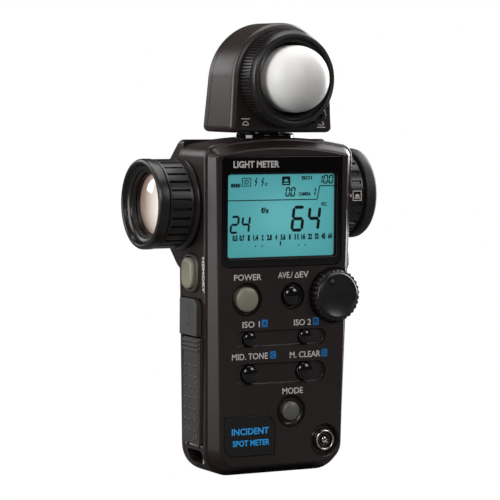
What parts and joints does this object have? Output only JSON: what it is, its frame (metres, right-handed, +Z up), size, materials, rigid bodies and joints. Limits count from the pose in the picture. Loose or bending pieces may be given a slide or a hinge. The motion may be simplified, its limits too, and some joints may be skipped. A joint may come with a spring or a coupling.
{
  "type": "handheld light meter",
  "caption": "Handheld photographic light meter: upright body with display and keys, side-to-side spot finder, swivelling head with a retracting white dome.",
  "frame": {"origin": "on the surface the meter stands on, under the middle of the body", "axes": "+X to the right seen from the front, -Y out of the display, +Z up towards the head"},
  "size_m": [0.093, 0.0606, 0.17],
  "materials": {
    "case_plastic": "fine textured brown-black moulding, semi-matt",
    "gloss_black": "smooth polished black plastic",
    "control_black": "black satin control plastic",
    "key_beige": "beige-grey satin key",
    "key_grey": "mid-grey satin plastic",
    "door_grey": "mid-grey textured moulding",
    "soft_rubber": "matt grey rubber",
    "eyecup_rubber": "matt black rubber",
    "membrane_rubber": "grey silicone",
    "diffuser_white": "milky translucent white, satin",
    "display_teal": "back-lit teal liquid crystal panel with black segments",
    "light_guide": "clear acrylic light guide",
    "coated_glass": "coated lens glass with a warm reflection",
    "circuit_board": "green glass-fibre board",
    "nickel": "bright nickel plate",
    "steel": "plain steel",
    "brass": "turned brass",
    "cell_wrap": "plain yellow cell wrapper"
  },
  "bodies": {
    "root": {"battery_cell": "cell_wrap", "battery_contact_lower": "nickel", "battery_contact_upper": "nickel", "battery_door_pin": "steel", "case_screw_1": "steel", "case_screw_2": "steel", "case_screw_3": "steel", "case_screw_4": "steel", "display_window": "gloss_black", "eyepiece_lens": "coated_glass", "eyepiece_tube": "control_black", "finder_prism": "coated_glass", "front_case": "case_plastic", "jog_encoder": "steel", "key_board": "circuit_board", "keypad_membrane": "membrane_rubber", "lcd_backlight": "light_guide", "lcd_frame": "key_grey", "lcd_panel": "display_teal", "main_board": "circuit_board", "measuring_switch": "steel", "memory_button_bezel": "door_grey", "memory_switch": "steel", "name_plate": "gloss_black", "objective_barrel": "control_black", "objective_front_ring": "control_black", "objective_grip_sleeve": "control_black", "objective_lens": "coated_glass", "rear_case": "case_plastic", "spot_sensor": "steel", "strap_bar": "steel", "swivel_collar": "gloss_black", "swivel_retainer": "steel", "sync_terminal_insulator": "control_black", "sync_terminal_pin": "brass", "sync_terminal_shell": "nickel", "tripod_bush": "nickel", "usb_socket": "nickel"},
    "power_key": {"power_button": "key_beige"},
    "average_key": {"average_button": "gloss_black"},
    "iso_1_key": {"iso_1_button": "gloss_black"},
    "iso_2_key": {"iso_2_button": "gloss_black"},
    "mid_tone_key": {"mid_tone_button": "gloss_black"},
    "memory_clear_key": {"memory_clear_button": "gloss_black"},
    "mode_key": {"mode_button": "key_grey"},
    "jog": {"jog_wheel": "control_black"},
    "memory_key": {"memory_button": "key_beige"},
    "measuring_key": {"measuring_button": "control_black"},
    "battery_cover": {"battery_door": "door_grey"},
    "socket_cap": {"usb_cap": "soft_rubber"},
    "head": {"head_front_housing": "case_plastic", "head_back_cover": "case_plastic", "swivel_stem": "steel", "head_sensor": "steel", "head_sensor_board": "circuit_board"},
    "ring": {"retract_ring": "control_black"},
    "dome": {"diffuser_dome": "diffuser_white", "dome_carrier": "control_black"},
    "selector": {"selector_dial": "control_black"},
    "dioptre": {"eyecup": "eyecup_rubber"}
  },
  "joints": [
    {"name": "power_press", "type": "slide", "parent": "root", "child": "power_key", "axis": [0, 1, 0], "range_m": [0, 0.0008], "stiffness_N_per_m": 1500, "springref_m": -0.0004},
    {"name": "average_press", "type": "slide", "parent": "root", "child": "average_key", "axis": [0, 1, 0], "range_m": [0, 0.0008], "stiffness_N_per_m": 1500, "springref_m": -0.0004},
    {"name": "iso_1_press", "type": "slide", "parent": "root", "child": "iso_1_key", "axis": [0, 1, 0], "range_m": [0, 0.0008], "stiffness_N_per_m": 1500, "springref_m": -0.0004},
    {"name": "iso_2_press", "type": "slide", "parent": "root", "child": "iso_2_key", "axis": [0, 1, 0], "range_m": [0, 0.0008], "stiffness_N_per_m": 1500, "springref_m": -0.0004},
    {"name": "mid_tone_press", "type": "slide", "parent": "root", "child": "mid_tone_key", "axis": [0, 1, 0], "range_m": [0, 0.0008], "stiffness_N_per_m": 1500, "springref_m": -0.0004},
    {"name": "memory_clear_press", "type": "slide", "parent": "root", "child": "memory_clear_key", "axis": [0, 1, 0], "range_m": [0, 0.0008], "stiffness_N_per_m": 1500, "springref_m": -0.0004},
    {"name": "mode_press", "type": "slide", "parent": "root", "child": "mode_key", "axis": [0, 1, 0], "range_m": [0, 0.0008], "stiffness_N_per_m": 1500, "springref_m": -0.0004},
    {"name": "memory_press", "type": "slide", "parent": "root", "child": "memory_key", "axis": [1, 0, 0], "range_m": [0, 0.001], "stiffness_N_per_m": 1500, "springref_m": -0.0004},
    {"name": "measuring_press", "type": "slide", "parent": "root", "child": "measuring_key", "axis": [-1, 0, 0], "range_m": [0, 0.001], "stiffness_N_per_m": 1500, "springref_m": -0.0004},
    {"name": "jog_turn", "type": "hinge", "parent": "root", "child": "jog", "pos_m": [0.022, -0.017, 0.0674], "axis": [0, 1, 0], "continuous": true},
    {"name": "head_swivel", "type": "hinge", "parent": "root", "child": "head", "pos_m": [0, 0.002, 0.129], "axis": [0, 0, 1], "range_deg": [-90, 180]},
    {"name": "ring_turn", "type": "hinge", "parent": "head", "child": "ring", "pos_m": [0, -0.0132, 0.1491], "axis": [0, 1, 0], "range_deg": [0, 84]},
    {"name": "dome_retract", "type": "slide", "parent": "head", "child": "dome", "axis": [0, 1, 0], "range_m": [0, 0.007]},
    {"name": "selector_turn", "type": "hinge", "parent": "root", "child": "selector", "pos_m": [0.0321, 0.008, 0.105], "axis": [1, 0, 0], "range_deg": [0, 60]},
    {"name": "dioptre_turn", "type": "hinge", "parent": "root", "child": "dioptre", "pos_m": [0.039, 0.008, 0.105], "axis": [1, 0, 0], "range_deg": [-60, 60]},
    {"name": "battery_door_hinge", "type": "hinge", "parent": "root", "child": "battery_cover", "pos_m": [-0.0294, 0, 0.0113], "axis": [0, -1, 0], "range_deg": [0, 95]},
    {"name": "socket_cap_bend", "type": "hinge", "parent": "root", "child": "socket_cap", "pos_m": [-0.0309, 0.0108, 0.05965], "axis": [0, 0, -1], "range_deg": [0, 100]}
  ],
  "couplings": [
    {"joint": "dome_retract", "follows": "ring_turn", "m_per_rad": 0.0047678}
  ]
}
